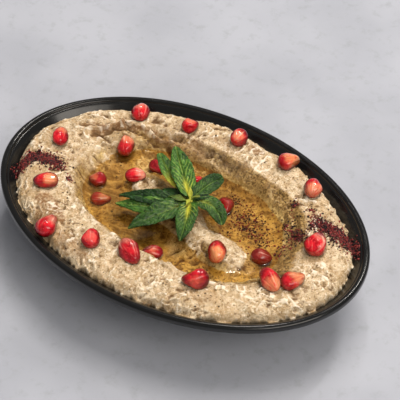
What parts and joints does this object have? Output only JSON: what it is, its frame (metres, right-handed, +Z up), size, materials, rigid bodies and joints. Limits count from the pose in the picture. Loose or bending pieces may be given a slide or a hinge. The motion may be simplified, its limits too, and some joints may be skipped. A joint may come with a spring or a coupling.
{
  "type": "baba ganoush",
  "caption": "Smoked aubergine dip spread in an oval black dish, with olive oil in its trough, pomegranate arils, sumac and a mint sprig.",
  "frame": {"origin": "middle of the foot, on the surface that the dish stands on", "axes": "+X along the dish, +Y across it away from the spread's broad near band, +Z up"},
  "size_m": [0.176, 0.12, 0.0417],
  "materials": {
    "black_melamine": "moulded black melamine, glossy",
    "mash": "coarse beige mash, moist, with dark specks and pinches of dark red sumac",
    "olive_oil": "clear golden oil, mirror smooth",
    "pomegranate": "juicy translucent red, paler towards the tip, glossy",
    "mint_leaf": "green veined leaf, satin"
  },
  "bodies": {
    "root": {"dish": "black_melamine", "spread": "mash", "oil_pool": "olive_oil", "aril_01": "pomegranate", "aril_02": "pomegranate", "aril_03": "pomegranate", "aril_04": "pomegranate", "aril_05": "pomegranate", "aril_06": "pomegranate", "aril_07": "pomegranate", "aril_08": "pomegranate", "aril_09": "pomegranate", "aril_10": "pomegranate", "aril_11": "pomegranate", "aril_12": "pomegranate", "aril_13": "pomegranate", "aril_14": "pomegranate", "aril_15": "pomegranate", "aril_16": "pomegranate", "aril_17": "pomegranate", "aril_18": "pomegranate", "aril_19": "pomegranate", "aril_20": "pomegranate", "aril_21": "pomegranate", "aril_22": "pomegranate", "aril_23": "pomegranate", "aril_24": "pomegranate", "mint_sprig": "mint_leaf"}
  },
  "joints": []
}
